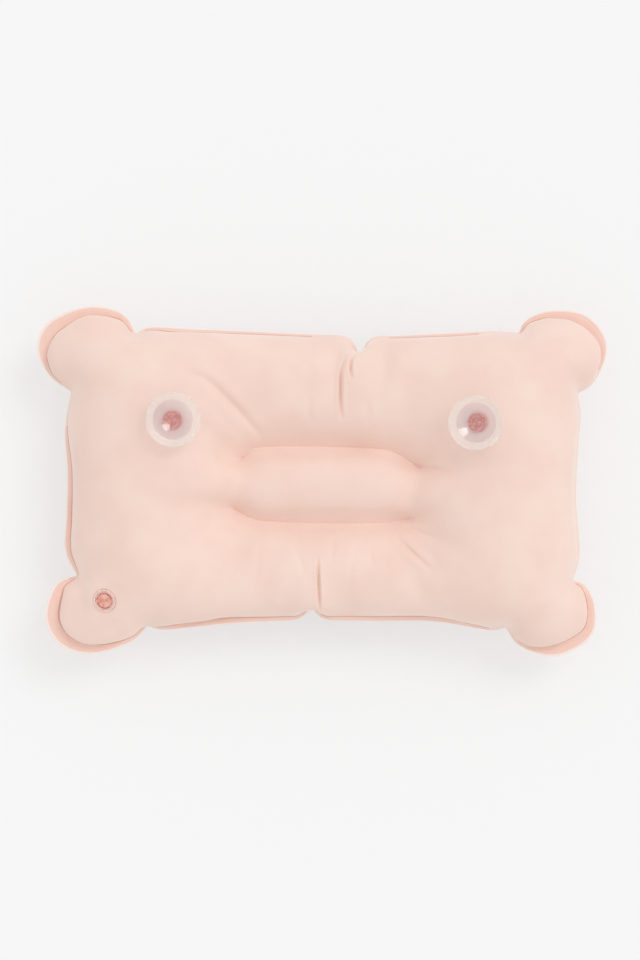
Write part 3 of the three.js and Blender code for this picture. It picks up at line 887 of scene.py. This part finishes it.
def welded_vinyl(name, weld, flocking):
    """The same sheet where a hot tool has melted the flocking in: smooth, half glossy and uneven.

    It is darker there, and in places paler where some of the flocking's colour is left.
    """
    material, tree, waves, bumps = patterned_material(
        name, size=14 * MM, detail=2, strength=0.5, depth=0.6 * MM
    )
    pale = [0.5 * (a + b) for a, b in zip(weld, flocking)]
    colour = add_node(
        tree, "ShaderNodeMix",
        {MIX_SHARE: waves, MIX_FIRST: (*weld, 1), MIX_SECOND: (*pale, 1)}, data_type="RGBA",
    )
    shader = add_node(
        tree, "ShaderNodeBsdfPrincipled",
        {"Base Color": colour.outputs[MIX_RESULT], "Roughness": 0.34, "IOR": 1.53,
         "Subsurface Weight": 0.15, "Subsurface Scale": 0.3 * MM, "Coat Weight": 0.25,
         "Coat Roughness": 0.2, "Normal": bumps},
    )
    add_node(tree, "ShaderNodeOutputMaterial", {"Surface": shader.outputs[0]})
    return material


def clear_vinyl(name, colour, clearness, cover):
    """Soft clear PVC, moulded in a polished tool: glassy, with a wavy skin that bends highlights.

    Less clear and nearly white, it is the cup's thin lip, whose pale ring is a painted highlight where
    the thin lip catches the light. It hides a share of what lies behind it, its cover.
    """
    material, tree, _, ripples = patterned_material(
        name, size=6 * MM, detail=1, strength=0.2, depth=0.2 * MM
    )
    shader = add_node(
        tree, "ShaderNodeBsdfPrincipled",
        {"Base Color": (*colour, 1), "Roughness": 0.06, "IOR": 1.4, "Alpha": cover,
         "Transmission Weight": clearness, "Coat Weight": 1.0, "Coat Roughness": 0.03,
         "Coat IOR": 2.0, "Normal": ripples},
    )
    add_node(tree, "ShaderNodeOutputMaterial", {"Surface": shader.outputs[0]})
    return material


def moulded_vinyl(name, colour, mottle):
    """Coloured soft PVC, moulded: smooth and a little see-through, with paler flow marks in it. At the
    fine sizes used for the coral collars and plugs, the paler marks are also painted glints, the speckled
    light on the knob under the clear cup.
    """
    material, tree, clouds, bumps = patterned_material(
        name, size=mottle * MM, detail=3, strength=0.4, depth=0.15 * MM
    )
    # Paler flow marks. On the coral collars and plugs, whose marks are fine, they also stand for painted
    # glints.
    marks = add_node(
        tree, "ShaderNodeMapRange", {"Value": clouds, "From Min": 0.4, "From Max": 0.65}
    )
    pale = [c + (1 - c) * 0.35 for c in colour]
    tone = add_node(
        tree, "ShaderNodeMix",
        {MIX_SHARE: marks.outputs[0], MIX_FIRST: (*colour, 1), MIX_SECOND: (*pale, 1)},
        data_type="RGBA",
    )
    shader = add_node(
        tree, "ShaderNodeBsdfPrincipled",
        {"Base Color": tone.outputs[MIX_RESULT], "Roughness": 0.3, "IOR": 1.53,
         "Subsurface Weight": 0.15, "Subsurface Scale": 0.4 * MM, "Normal": bumps},
    )
    add_node(tree, "ShaderNodeOutputMaterial", {"Surface": shader.outputs[0]})
    return material


# Operators


class BATHPILLOW_OT_stage(Operator):
    """Makes the camera, the floor and the lights"""

    bl_idname = "bathpillow.stage"
    bl_label = "Stage"

    def execute(self, context):
        scene = context.scene
        settings = scene.bath_pillow.stage
        self.add_camera(scene, settings)
        self.add_floor(scene, settings)
        self.add_studio(scene, settings)
        self.add_key_light(scene, settings)
        scene.view_settings.view_transform = "Standard"
        return {"FINISHED"}

    def add_camera(self, scene, settings):
        """A camera straight above, which frames the pillow as the photograph does."""
        camera = bpy.data.cameras.new("camera")
        away = settings.camera_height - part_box("back_sheet")[0].z
        camera.sensor_width = 36
        camera.lens = camera.sensor_width * away / (PHOTO_HEIGHT * settings.pixel)
        holder = bpy.data.objects.new("camera", camera)
        across, up = (pixels * settings.pixel for pixels in PHOTO_MIDDLE)
        holder.location = (across, up, settings.camera_height)
        scene.collection.objects.link(holder)
        scene.camera = holder

    def add_floor(self, scene, settings):
        """White backdrop paper: even, without a gleam, and hardly darker in the shadow."""
        material, tree = new_material("white_paper_backdrop")
        paper = add_node(
            tree, "ShaderNodeBsdfPrincipled",
            {"Base Color": (*settings.floor, 1), "Roughness": 1.0, "Specular IOR Level": 0.0},
        )
        glow = add_node(
            tree, "ShaderNodeEmission", {"Color": (*settings.floor, 1), "Strength": 1.0}
        )
        share = add_node(
            tree, "ShaderNodeMath",
            {0: self.seen_rays(tree), 1: settings.floor_glow}, operation="MULTIPLY",
        )
        shader = add_node(
            tree, "ShaderNodeMixShader",
            {0: share.outputs[0], 1: paper.outputs[0], 2: glow.outputs[0]},
        )
        add_node(tree, "ShaderNodeOutputMaterial", {"Surface": shader.outputs[0]})

        half = settings.floor_size / 2
        corners = [(-half, -half, 0), (half, -half, 0), (half, half, 0), (-half, half, 0)]
        mesh = bpy.data.meshes.new("floor")
        mesh.from_pydata(corners, [], [(0, 1, 2, 3)])
        mesh.materials.append(material)
        floor = bpy.data.objects.new("floor", mesh)
        scene.collection.objects.link(floor)

    def add_studio(self, scene, settings):
        """Even light from all sides, and a background in the floor's colour."""
        world = bpy.data.worlds.new("studio")
        world.use_nodes = True
        tree = world.node_tree
        tree.nodes.clear()
        fill = add_node(
            tree, "ShaderNodeBackground",
            {"Color": (1, 1, 1, 1), "Strength": settings.fill_strength},
        )
        seen = add_node(
            tree, "ShaderNodeBackground", {"Color": (*settings.floor, 1), "Strength": 1.0}
        )
        mixed = add_node(
            tree, "ShaderNodeMixShader",
            {0: self.seen_rays(tree), 1: fill.outputs[0], 2: seen.outputs[0]},
        )
        add_node(tree, "ShaderNodeOutputWorld", {"Surface": mixed.outputs[0]})
        scene.world = world

    def add_key_light(self, scene, settings):
        """A wide soft light, which draws the shadow."""
        lamp = bpy.data.lights.new("key", "SUN")
        lamp.energy = settings.key_strength
        lamp.angle = settings.key_spread
        key = bpy.data.objects.new("key", lamp)
        key.location = KEY_PLACE
        key.rotation_mode = "QUATERNION"
        key.rotation_quaternion = key.location.to_track_quat("Z", "Y")
        scene.collection.objects.link(key)

    def seen_rays(self, tree):
        """1 for rays that show the background: straight, mirrored or through clear vinyl."""
        rays = add_node(tree, "ShaderNodeLightPath")
        seen = rays.outputs["Is Camera Ray"]
        for kind in ("Is Glossy Ray", "Is Transmission Ray"):
            both = {0: seen, 1: rays.outputs[kind]}
            seen = add_node(tree, "ShaderNodeMath", both, operation="MAXIMUM").outputs[0]
        return seen


class BATHPILLOW_OT_sheets(Operator):
    """Cuts, welds and blows up the two flocked sheets"""

    bl_idname = "bathpillow.sheets"
    bl_label = "Sheets"

    def execute(self, context):
        settings = context.scene.bath_pillow.pillow
        cell, steps = settings.cell / MM, settings.steps
        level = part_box("back_sheet")[0].z / MM
        pattern = sheet_pattern(settings, cell)
        skin, triangles, held = blow_up(pattern, cell, steps, settings.pressure)
        skin = let_out(skin, triangles, held, settings.letting_out)
        skin[:, 2] *= settings.crown / MM / skin[:, 2].max()
        weld_height = FLANGE_SECTION[0][1]
        skin[:, 2] += weld_height
        fittings = {
            "cup_collar_left": cup_seat("left"), "cup_collar_right": cup_seat("right"),
            "valve_base": valve_seat(),
        }
        back = skin.copy()
        back[:, 2] += level
        for seat in fittings.values():
            back[held:] = seat_sheet(back[held:], seat)
        back[:, 2] -= level

        # In the order of the sheets' finishes.
        materials = [
            flocked_vinyl(settings),
            welded_vinyl("heat_welded_pvc_sheet", settings.weld, settings.flocking),
            # The seam's bead: darker partly as painted shade where the skin meets the flange.
            welded_vinyl("melted_pvc_bead_and_seam_shade", settings.seam_bead_and_shade, settings.weld),
            # The cut edge, painted nearly white as a highlight along it.
            welded_vinyl("die_cut_pvc_edge_painted_highlight", settings.cut_edge_highlight, settings.weld),
        ]
        for node, side, surface in (("back_sheet", 1, back), ("front_sheet", -1, skin)):
            points, inner, flange = add_flange(surface, triangles, pattern, side)
            points = points * (1, 1, side)
            points[:, 2] += level
            if side < 0:
                points[:, 2] = press_flat(points[:, 2])
            faces = [face if side > 0 else face[::-1] for face in inner + flange]
            piece = make_piece(
                node + "_flocked", points * MM, faces, None, materials, [node]
            )
            finishes = [FLOCKED] * len(inner) + self.flange_finishes(pattern)
            piece.data.polygons.foreach_set("material_index", finishes)
            self.sharpen(piece.data, len(pattern["flat"][0]), held)
            smooth = piece.modifiers.new("smooth", "SUBSURF")
            smooth.levels = smooth.render_levels = 2 if side > 0 else 1
            self.apply_modifiers(piece)
            if side > 0:
                self.press_lines(piece.data, pattern["blown"][1:])
            shell = piece.modifiers.new("shell", "SOLIDIFY")
            shell.thickness, shell.offset = settings.sheet, -1
            if side > 0:
                self.cut_holes(context, piece, fittings)
            else:
                self.apply_modifiers(piece)
            piece.data.shade_smooth()
            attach(piece, "pillow")
        return {"FINISHED"}

    def flange_finishes(self, pattern):
        """The finish of each of the flange's faces.

        Where the flange is folded steeply down, it takes the paler flocked finish in place of the weld's.
        This is painted light: these strips face sideways and would otherwise show dark.
        """
        steep = 2
        reach = np.linalg.norm(pattern["edge"] - pattern["blown"][0], axis=1)
        folded = pattern["drop"] > steep * reach
        finishes = []
        for _, _, finish in FLANGE_SECTION[1:]:
            kept = finish == CUT_EDGE_HIGHLIGHT
            # Steep folded strips are painted in the paler flocked colour to stand in for light. The cut
            # edge strips keep their finish.
            finishes += [FLOCKED if down and not kept else finish for down in folded]
        return finishes

    def sharpen(self, mesh, seam_count, held):
        """Keeps the seam and the weld lines crisp under the subdivision."""
        crispness = 0.8
        crease = mesh.attributes.new("crease_edge", "FLOAT", "EDGE")
        for edge in mesh.edges:
            i, j = sorted(edge.vertices)
            on_seam = j < seam_count and (j - i == 1 or (i == 0 and j == seam_count - 1))
            on_weld = i >= seam_count and j < held and j - i == 1
            crease.data[edge.index].value = crispness if on_seam or on_weld else 0

    def apply_modifiers(self, piece):
        """Makes what the piece's modifiers show its one mesh."""
        graph = bpy.context.evaluated_depsgraph_get()
        mesh = bpy.data.meshes.new_from_object(piece.evaluated_get(graph))
        if not mesh.polygons:
            raise RuntimeError("Nothing is left of " + piece.name)
        piece.modifiers.clear()
        piece.data = mesh

    def press_lines(self, mesh, welds):
        """Gives the back sheet's weld lines their finish and carves its creases.

        The mesh is made finer along the sharp ones first, and twice along the weld lines.
        """
        # Widths are half widths in millimetres, and reaches are shares of them.
        sharp_width, weld_width, point_step = 2, 0.36, 4
        sharp = [crease for crease in CREASES if crease[1] < sharp_width]
        lines = [(0, weld_width, weld[::point_step]) for weld in welds]
        for chosen, reach in ((sharp, 2.5), (lines, 3), (lines, 2)):
            refine(mesh, chosen, reach)
        middles = mesh_values(mesh.polygons, "center", 3) / MM
        for _, _, line in lines:
            for k in np.flatnonzero(way_to_crease(middles, line)[0] < weld_width):
                mesh.polygons[k].material_index = WELDED
        places = mesh_values(mesh.vertices, "co", 3)
        places[:, 2] -= carve(places / MM, CREASES) * MM
        mesh.vertices.foreach_set("co", places.ravel())
        mesh.update()

    def cut_holes(self, context, piece, fittings):
        """Cuts the round holes that the collars and the valve's ring pass through."""
        sides = context.scene.bath_pillow.fittings.sides
        play, reach = 0.1, 20
        cutters = []
        for node, seat in fittings.items():
            points = node_points(node, seat) / MM
            above = points[points[:, 2] > 0]
            radius = np.hypot(above[:, 0], above[:, 1]).max() + play
            drill, faces = turned([(0, -reach), (radius, -reach), (radius, reach), (0, reach)], sides)
            mesh = bpy.data.meshes.new("cutter")
            mesh.from_pydata([tuple(p * MM) for p in drill], [], faces)
            cutter = bpy.data.objects.new("cutter", mesh)
            context.scene.collection.objects.link(cutter)
            cutter.matrix_world = seat
            hole = piece.modifiers.new("hole", "BOOLEAN")
            hole.operation, hole.solver, hole.object = "DIFFERENCE", "EXACT", cutter
            cutters.append(cutter)
        self.apply_modifiers(piece)
        for cutter in cutters:
            bpy.data.objects.remove(cutter)


class BATHPILLOW_OT_collars(Operator):
    """Makes the collars that the suction cups plug into"""

    bl_idname = "bathpillow.collars"
    bl_label = "Collars"

    def execute(self, context):
        settings = context.scene.bath_pillow.fittings
        # Its fine paler mottle is partly painted glints on the knob.
        material = moulded_vinyl("coral_moulded_pvc", settings.collar, 1.8)
        hole = settings.lip_hole / MM
        wall, foot, lip = 6.4, 0.8, 1.2
        chamber, chamber_depth = 5, 4.2
        for side in ("left", "right"):
            seat = cup_seat(side)
            node = "cup_collar_" + side
            low, high, flange = node_span(node, seat)
            profile = [
                (0, low), (flange, low), (flange, low + foot), (wall, low + foot), (wall, high),
                (hole, high), (hole, high - lip), (chamber, high - lip),
                (chamber, high - chamber_depth), (0, high - chamber_depth),
            ]
            turned_piece(node, seat, [(profile, material)], settings, "pillow")
        return {"FINISHED"}


class BATHPILLOW_OT_cups(Operator):
    """Makes the clear suction cups"""

    bl_idname = "bathpillow.cups"
    bl_label = "Suction cups"

    def execute(self, context):
        settings = context.scene.bath_pillow.fittings
        clear = clear_vinyl("clear_moulded_pvc", settings.clear, 0.92, 0.4)
        # The lip's material is painted nearly white, a painted highlight round the cup.
        lip_highlight_vinyl = clear_vinyl("lip_pvc_painted_highlight", settings.lip, 0.5, 0.42)
        # Its fine paler mottle is partly painted glints on the knob seen through the cup.
        coral = moulded_vinyl("clear_pvc_on_coral_pvc", settings.collar, 1.4)
        neck, disc = settings.neck / MM, settings.cup_disc / MM
        dish, head, head_height = 9.6, 4.7, 2.4
        for side in ("left", "right"):
            seat = cup_seat(side)
            node = "suction_cup_" + side
            low, high, rim = node_span(node, seat)
            base = high - dish
            # The collar grips the neck and the head so closely that they show its coral.
            plug = [
                (0, low), (head / 2, low), (head, low + head_height / 2),
                (head, low + head_height), (neck, low + head_height), (neck, base), (0, base),
            ]
            parts = [(self.dish_profile(settings, base, high, rim), clear), (plug, coral)]
            piece = turned_piece(node, seat, parts, settings, "cup_" + side)
            piece.data.materials.append(lip_highlight_vinyl)
            # Faces beyond the thicker middle take the lip's painted highlight.
            for face in piece.data.polygons:
                if math.hypot(face.center.x, face.center.y) / MM > disc:
                    face.material_index = len(parts)
        return {"FINISHED"}

    def dish_profile(self, settings, base, high, rim):
        """The dish's underside from its middle outwards, its round lip, and its inside back in.

        The underside curves up more and more. The inside steps up to the thicker middle disc.
        """
        neck, disc, wall = (x / MM for x in (settings.neck, settings.cup_disc, settings.cup_wall))
        rings, lip_steps = 12, 8
        hollow, step_height, step_width = 7.6, 0.8, 1.4
        gap = 0.02
        lip = wall / 2
        profile = [(0, base + gap), (neck, base + gap)]
        for k in range(1, rings + 1):
            share = k / rings
            profile.append((neck + (rim - neck) * share, base + (high - lip - base) * share ** 2))
        for k in range(1, lip_steps):
            angle = math.pi * k / lip_steps
            profile.append((rim - lip + lip * math.cos(angle), high - lip + lip * math.sin(angle)))
        for k in range(rings, -1, -1):
            share = k / rings
            radius = (rim - wall) * share
            step = step_height * (1 - ease((radius - disc) / step_width + 0.5))
            dip = (hollow - lip) * (1 - share ** 2) + lip
            profile.append((radius, high - dip + step))
        return profile


class BATHPILLOW_OT_valve(Operator):
    """Makes the recessed inflation valve"""

    bl_idname = "bathpillow.valve"
    bl_label = "Valve"

    def execute(self, context):
        settings = context.scene.bath_pillow.fittings
        seat = valve_seat()
        salmon = moulded_vinyl("blush_moulded_pvc", settings.valve, 3)
        pale = moulded_vinyl("pale_moulded_pvc", settings.valve_ring, 3)
        spans = {
            node: node_span(node, seat)
            for node in ("valve_base", "valve_stem", "valve_skirt", "valve_plug", "valve_flap")
        }
        bore = settings.stem_bore / MM
        ring_low, ring_high, flange = spans["valve_base"]
        low, high, _ = spans["valve_skirt"]
        fold = ring_high - 0.35
        for node, profile, material, body in (
            ("valve_base", self.ring(ring_low, ring_high, flange), pale, "pillow"),
            ("valve_stem", self.stem(*spans["valve_stem"], bore, low), salmon, "stem"),
            ("valve_skirt", self.skirt(low, high, fold), pale, None),
            ("valve_plug", self.plug(*spans["valve_plug"], bore), salmon, "plug"),
            ("valve_flap", self.flap(*spans["valve_flap"]), salmon, "flap"),
        ):
            piece = turned_piece(node, seat, [(profile, material)], settings, body)
            if body is None:
                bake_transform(piece)
        self.make_strap(seat, salmon, spans["valve_plug"][2], spans["valve_stem"][1])
        self.make_tab(seat, salmon, spans["valve_stem"][0], *spans["valve_flap"][1:])
        return {"FINISHED"}

    def ring(self, low, high, flange):
        """The ring's profile, with its flange under the skin."""
        foot = 0.8
        return [
            (RING_BORE, low), (flange, low), (flange, low + foot), (RING_WALL, low + foot),
            (RING_WALL, high), (RING_BORE, high),
        ]

    def stem(self, low, high, bead, bore, skirt_low):
        """The tube's profile, with its rim and a bead just below the skirt."""
        bead_low, bead_high, rim_low = skirt_low - 1.1, skirt_low - 0.3, high - 1.2
        return [
            (bore, low), (STEM_TUBE, low), (STEM_TUBE, bead_low), (bead, bead_low),
            (bead, bead_high), (STEM_TUBE, bead_high), (STEM_TUBE, rim_low),
            (STEM_RIM, rim_low), (STEM_RIM, high), (bore, high),
        ]

    def skirt(self, low, high, fold):
        """The skirt's profile. It hangs from the ring's bore and hides the gap round the rim."""
        play, tube_gap, wall = 0.05, 0.3, 0.8
        outer, inner = RING_BORE - play, STEM_RIM + play
        return [
            (STEM_TUBE + tube_gap, low), (STEM_TUBE + tube_gap + wall, low), (outer, high),
            (outer, fold), (inner, fold), (inner, high),
        ]

    def plug(self, low, high, head, bore):
        """The plug's profile: a taper that fills the bore, under a head with a low rim."""
        tip, shoulder, under_head = bore - 1, bore - 0.3, high - 1.4
        rim, recess, floor = head - 1.1, head - 1.5, high - 0.5
        return [
            (0, low), (tip, low), (shoulder, under_head), (head, under_head), (head, high),
            (rim, high), (recess, floor), (0, floor),
        ]

    def flap(self, low, high, radius):
        """The flap's profile, a plain disc."""
        return [(0, low), (radius, low), (radius, high), (0, high)]

    def make_strap(self, seat, material, head, rim_top):
        """The plug's strap, from inside its head over the hinge and down into the stem's rim."""
        points = node_points("valve_strap", seat) / MM
        low, high = points.min(0), points.max(0)
        hinge = seat.inverted() @ Vector(joint_named("plug_swing")["pos_m"]) / MM
        top, under = high[2] - 0.2, low[2] + 0.05
        # Small steps in millimetres from the head's edge, the hinge, the rim's top and the faces
        # of the solid strap.
        corners = [
            (0.3 - head, top), (-head - 0.8, top + 0.05), (hinge.x + 0.25, top),
            (hinge.x - 0.1, hinge.z - 0.1), (hinge.x + 0.25, under),
            (hinge.x + 0.75, under - 0.25), (hinge.x + 0.9, rim_top - 0.3),
        ]
        thickness, width = 0.36, 2 * high[1]
        piece = self.make_band("valve_strap", seat, corners, thickness, width, material)
        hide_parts("valve_strap")
        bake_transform(piece)

    def make_tab(self, seat, material, stem_low, flap_high, flap):
        """The flap's tab, from inside the stem's lower end over the hinge into the flap."""
        # Places across the axis, and small steps in millimetres from the stem's lower end and
        # from the flap's top and edge.
        corners = [
            (-4.1, stem_low + 0.3), (-4.4, stem_low), (-flap - 0.15, flap_high),
            (-4.3, flap_high - 0.25), (-3.6, flap_high - 0.25),
        ]
        thickness, width = 0.3, 3
        piece = self.make_band("flap_tab", seat, corners, thickness, width, material)
        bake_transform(piece)

    def make_band(self, name, seat, corners, thickness, width, material):
        """A waisted band across a hinge, along a curve through corners in the seat's XZ plane."""
        steps, waist_share = 6, 0.3
        curve = smooth_curve(np.array(corners, float), steps)
        tangent = np.gradient(curve, axis=0)
        tangent /= np.linalg.norm(tangent, axis=1)[:, None]
        places, faces = [], []
        last = len(curve) - 1
        for k, ((x, z), (along_x, along_z)) in enumerate(zip(curve, tangent)):
            half = width / 2 * (1 - waist_share * math.sin(math.pi * k / last))
            for side, y in ((-1, -half), (-1, half), (1, half), (1, -half)):
                offset = side * thickness / 2
                places.append((x - along_z * offset, y, z + along_x * offset))
        for k in range(last):
            for c in range(4):
                a, b = 4 * k + c, 4 * k + (c + 1) % 4
                faces.append((a, b, b + 4, a + 4))
        faces += [(3, 2, 1, 0), tuple(4 * last + c for c in range(4))]
        return make_piece(
            name + "_band", np.array(places) * MM, faces, None, [material], (), seat
        )


STEPS = (
    BATHPILLOW_OT_stage, BATHPILLOW_OT_sheets, BATHPILLOW_OT_collars, BATHPILLOW_OT_cups,
    BATHPILLOW_OT_valve,
)


class BATHPILLOW_PT_panel(Panel):
    """Lists the steps that make the bath pillow, and its settings"""

    bl_idname = "BATHPILLOW_PT_panel"
    bl_label = "Bath pillow"
    bl_space_type = "VIEW_3D"
    bl_region_type = "UI"
    bl_category = "Bath pillow"

    def draw(self, context):
        settings = context.scene.bath_pillow
        for step in STEPS:
            self.layout.operator(step.bl_idname)
        for group in (settings.pillow, settings.fittings, settings.stage):
            box = self.layout.box()
            for name in group.__annotations__:
                box.prop(group, name)


CLASSES = (
    PillowSettings, FittingSettings, StageSettings, BathPillowSettings, *STEPS, BATHPILLOW_PT_panel,
)


def register():
    for cls in CLASSES:
        bpy.utils.register_class(cls)
    bpy.types.Scene.bath_pillow = PointerProperty(type=BathPillowSettings)


def unregister():
    del bpy.types.Scene.bath_pillow
    for cls in reversed(CLASSES):
        bpy.utils.unregister_class(cls)


def main():
    register()
    bpy.ops.bathpillow.stage()
    bpy.ops.bathpillow.sheets()
    bpy.ops.bathpillow.collars()
    bpy.ops.bathpillow.cups()
    bpy.ops.bathpillow.valve()


if __name__ == "__main__":
    main()
